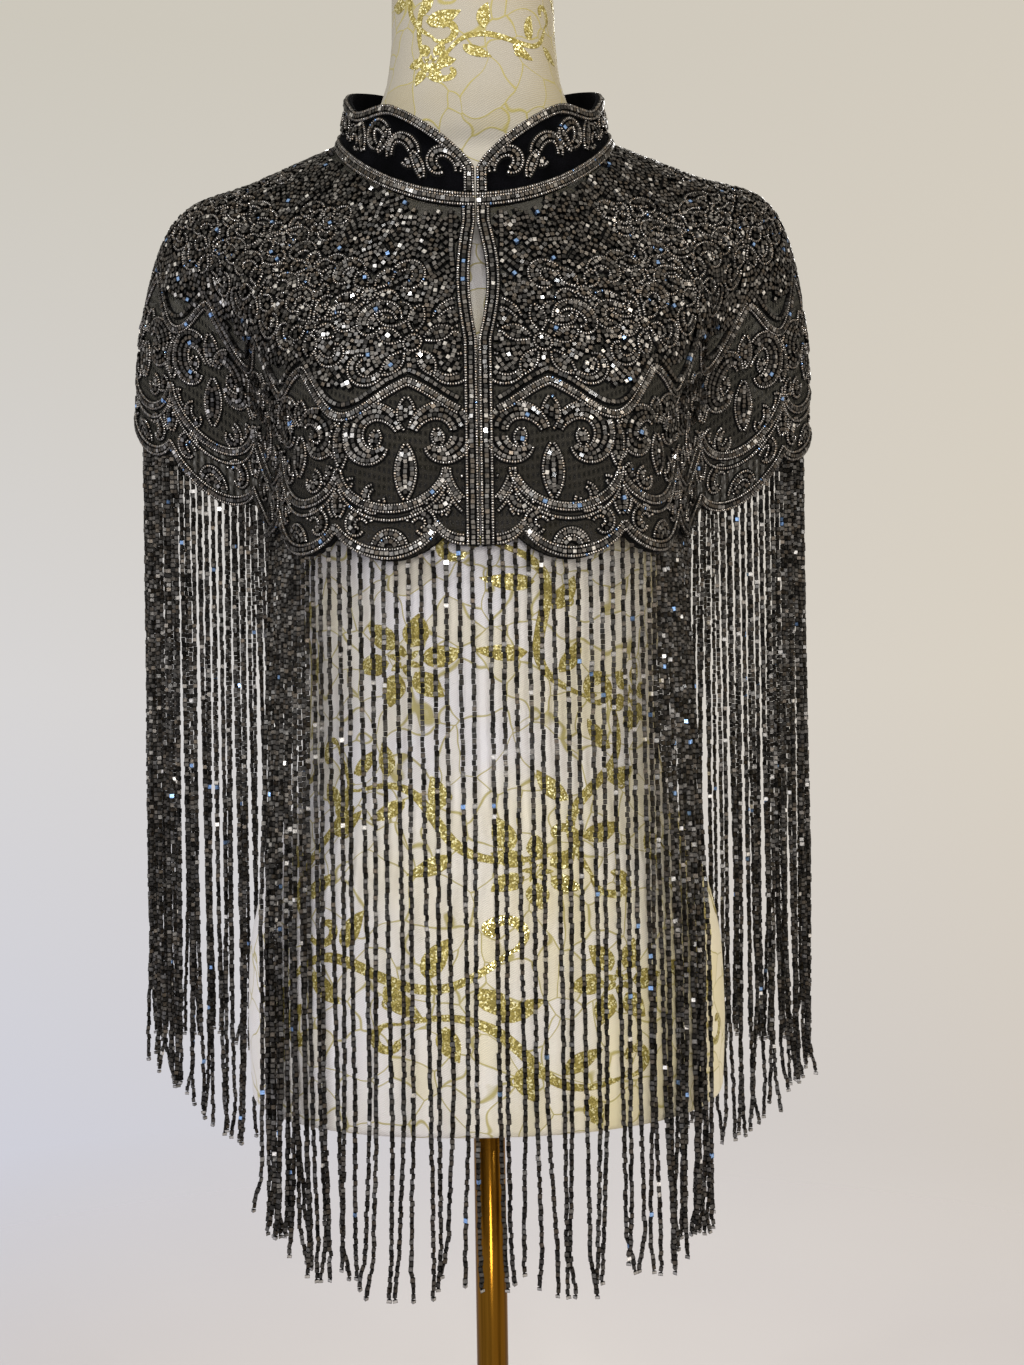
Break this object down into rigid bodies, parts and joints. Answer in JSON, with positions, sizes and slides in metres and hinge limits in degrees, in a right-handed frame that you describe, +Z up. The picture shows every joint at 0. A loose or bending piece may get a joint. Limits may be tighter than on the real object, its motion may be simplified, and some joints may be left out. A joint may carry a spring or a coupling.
{
  "type": "beaded fringe capelet on a limbless dress form",
  "caption": "Short net capelet beaded all over, with a velvet stand collar and long bead fringe, on a limbless dress form with a pole stand.",
  "frame": {"origin": "middle of the underside of the stand's base, on the floor", "axes": "+Z up, +X to the right as seen from the front, the front of the capelet faces -Y"},
  "size_m": [0.5029, 0.33, 1.489],
  "materials": {
    "net": "sheer dark net, beaded",
    "beads": "gunmetal glass beads, metallic lustre",
    "velvet": "black velvet",
    "lace_cover": "ivory stretch lace with gold glitter motifs",
    "stand_metal": "polished brass colour"
  },
  "bodies": {
    "root": {"front_panel_right": "net", "back_panel": "net", "front_panel_left": "net", "hem_band_right": "beads", "hem_band_back": "beads", "hem_band_left": "beads", "front_band_right": "beads", "front_band_left": "beads", "stand_collar": "velvet", "collar_foot_band": "beads", "collar_rim": "beads", "fringe_right": "beads", "fringe_back": "beads", "fringe_left": "beads", "form_body": "lace_cover", "pole": "stand_metal", "base": "stand_metal"}
  },
  "joints": []
}
